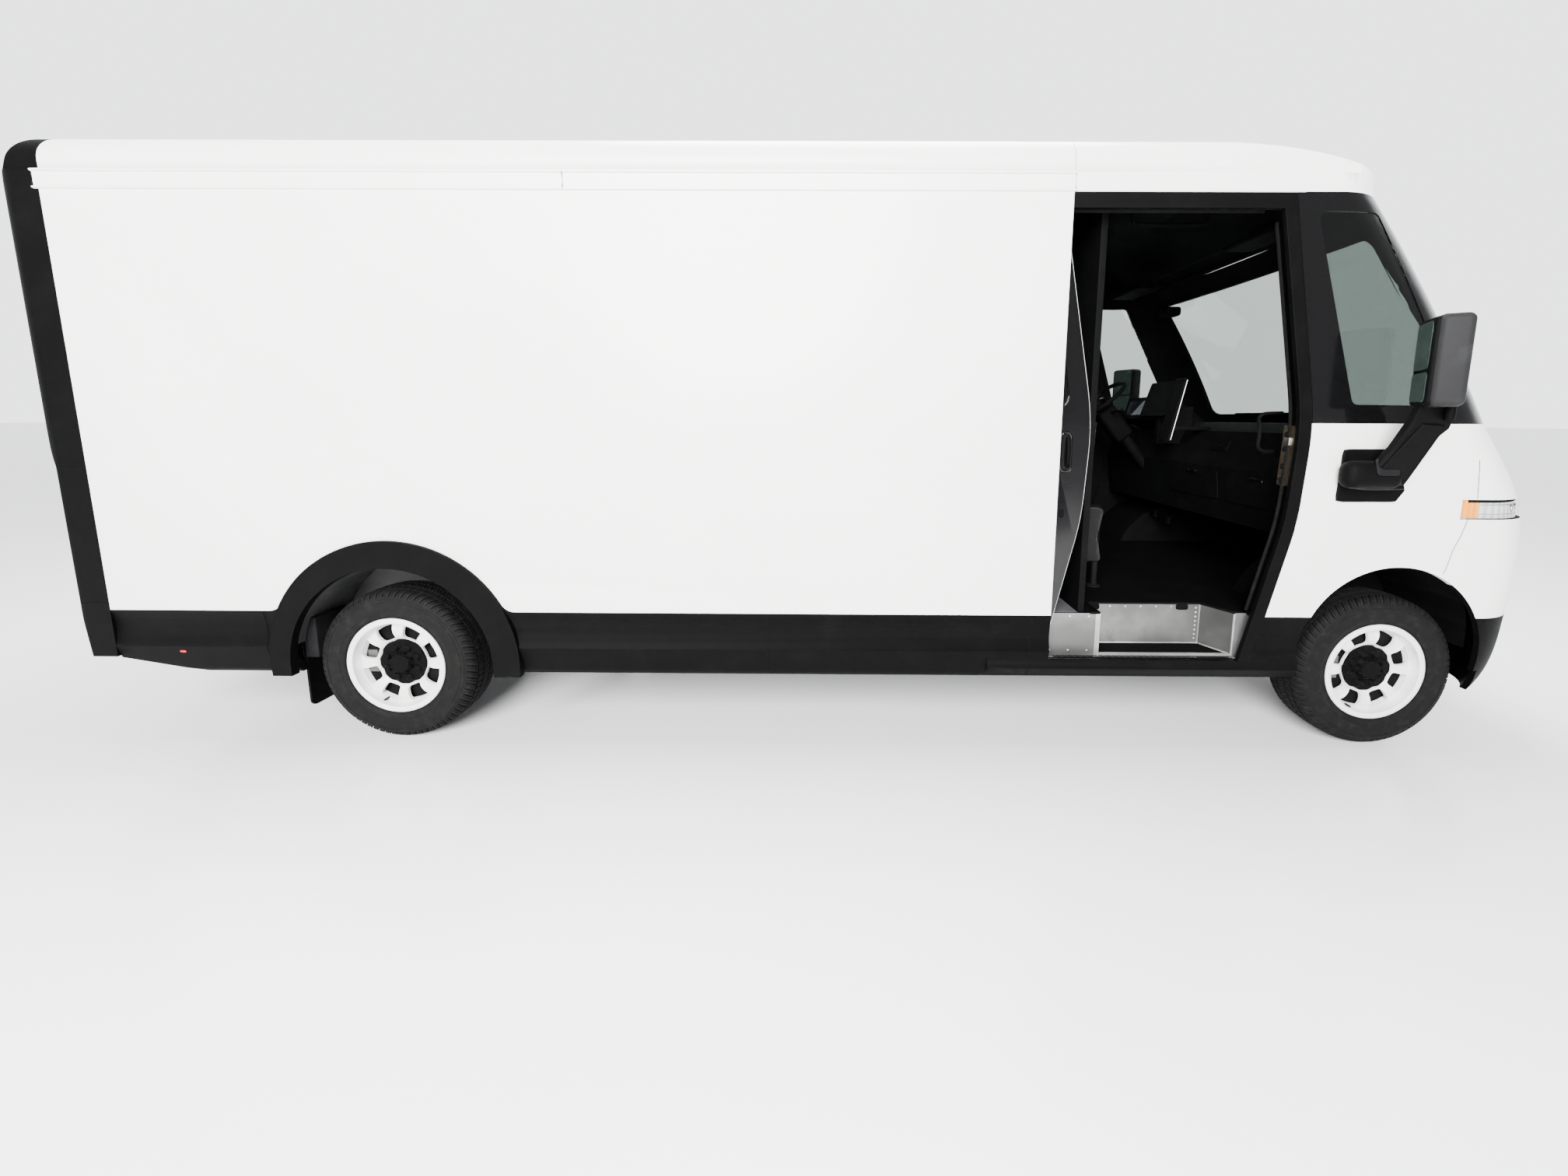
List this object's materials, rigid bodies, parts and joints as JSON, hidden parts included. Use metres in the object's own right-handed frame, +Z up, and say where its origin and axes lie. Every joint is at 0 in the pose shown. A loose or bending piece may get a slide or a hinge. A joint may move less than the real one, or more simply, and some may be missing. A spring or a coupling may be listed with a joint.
{
  "type": "electric walk-in delivery van",
  "caption": "Electric walk-in delivery van: white boxed cargo body on black skirts, black-framed cab, pocket sliding side doors, steered front wheels.",
  "frame": {"origin": "on the ground below the middle of the van's overall box", "axes": "+X forward along the van, +Y to its left, +Z up"},
  "size_m": [6.8961, 2.767, 2.7449],
  "materials": {
    "white_paint": "gloss white body paint",
    "black_cladding": "grained black cladding",
    "black_gloss": "gloss black trim",
    "clear_glass": "clear tinted glass",
    "tyre_rubber": "tyre rubber",
    "wheel_white": "white painted steel wheel",
    "frame_steel": "black coated steel",
    "step_aluminium": "brushed aluminium step and floor",
    "floor_grey": "grey floor covering",
    "interior_grey": "dark interior moulding",
    "seat_cloth": "dark grey seat cloth",
    "lamp_clear": "clear lamp cover",
    "case_grey": "grey battery case",
    "cast_metal": "cast suspension metal",
    "liner_white": "light cargo wall liner"
  },
  "bodies": {
    "van": {"battery_pack": "case_grey", "bulkhead": "interior_grey", "cab_floor": "step_aluminium", "cab_glass": "clear_glass", "cab_roof": "white_paint", "cargo_floor": "floor_grey", "cargo_roof": "white_paint", "cargo_wall_left": "white_paint", "cargo_wall_right": "white_paint", "cross_members": "frame_steel", "dashboard": "interior_grey", "door_frame_left": "black_gloss", "door_frame_right": "black_gloss", "drive_unit": "case_grey", "driver_seat": "seat_cloth", "frame_rails": "frame_steel", "front_bumper": "black_cladding", "front_suspension": "cast_metal", "jump_seat": "interior_grey", "lamps": "lamp_clear", "mirror_left": "black_cladding", "mirror_right": "black_cladding", "mudflap_left": "black_cladding", "mudflap_right": "black_cladding", "nose_panel": "white_paint", "rear_axle": "cast_metal", "rear_door": "white_paint", "rear_frame": "black_cladding", "rear_step": "black_cladding", "side_skirt_left": "black_cladding", "side_skirt_right": "black_cladding", "steering_column": "interior_grey", "wheel_housings": "frame_steel", "windscreen_surround": "black_gloss"},
    "wheel_front_left": {"wheel_front_left": "wheel_white", "tyre_front_left": "tyre_rubber"},
    "wheel_front_right": {"wheel_front_right": "wheel_white", "tyre_front_right": "tyre_rubber"},
    "wheel_rear_left": {"wheel_rear_left": "wheel_white", "tyre_rear_left": "tyre_rubber"},
    "wheel_rear_right": {"wheel_rear_right": "wheel_white", "tyre_rear_right": "tyre_rubber"},
    "steer_left": {"knuckle_left": "cast_metal"},
    "steer_right": {"knuckle_right": "cast_metal"},
    "side_door_left": {"sliding_door_left": "black_gloss", "door_glass_left": "clear_glass"},
    "side_door_right": {"sliding_door_right": "black_gloss", "door_glass_right": "clear_glass"},
    "hand_wheel": {"steering_wheel": "interior_grey"}
  },
  "joints": [
    {"name": "right_door_slide", "type": "slide", "parent": "van", "child": "side_door_right", "axis": [1, 0, 0], "range_m": [0, 0.92]},
    {"name": "left_door_slide", "type": "slide", "parent": "van", "child": "side_door_left", "axis": [-1, 0, 0], "range_m": [0, 0.92]},
    {"name": "left_steer", "type": "hinge", "parent": "van", "child": "steer_left", "pos_m": [2.703, 0.93, 0.373], "axis": [0, 0, 1], "range_deg": [-35, 35]},
    {"name": "right_steer", "type": "hinge", "parent": "van", "child": "steer_right", "pos_m": [2.703, -0.93, 0.373], "axis": [0, 0, 1], "range_deg": [-35, 35]},
    {"name": "steering_wheel_turn", "type": "hinge", "parent": "van", "child": "hand_wheel", "pos_m": [2.002, 0.5, 1.685], "axis": [-0.6293, 0, 0.7771], "range_deg": [-525, 525]},
    {"name": "front_left_spin", "type": "hinge", "parent": "steer_left", "child": "wheel_front_left", "pos_m": [2.703, 0.95, 0.373], "axis": [0, 1, 0], "continuous": true},
    {"name": "front_right_spin", "type": "hinge", "parent": "steer_right", "child": "wheel_front_right", "pos_m": [2.703, -0.95, 0.373], "axis": [0, 1, 0], "continuous": true},
    {"name": "rear_left_spin", "type": "hinge", "parent": "van", "child": "wheel_rear_left", "pos_m": [-1.958, 0.95, 0.373], "axis": [0, 1, 0], "continuous": true},
    {"name": "rear_right_spin", "type": "hinge", "parent": "van", "child": "wheel_rear_right", "pos_m": [-1.958, -0.95, 0.373], "axis": [0, 1, 0], "continuous": true}
  ],
  "couplings": [
    {"joint": "right_steer", "follows": "left_steer", "ratio": 1},
    {"joint": "steering_wheel_turn", "follows": "left_steer", "ratio": 15}
  ]
}
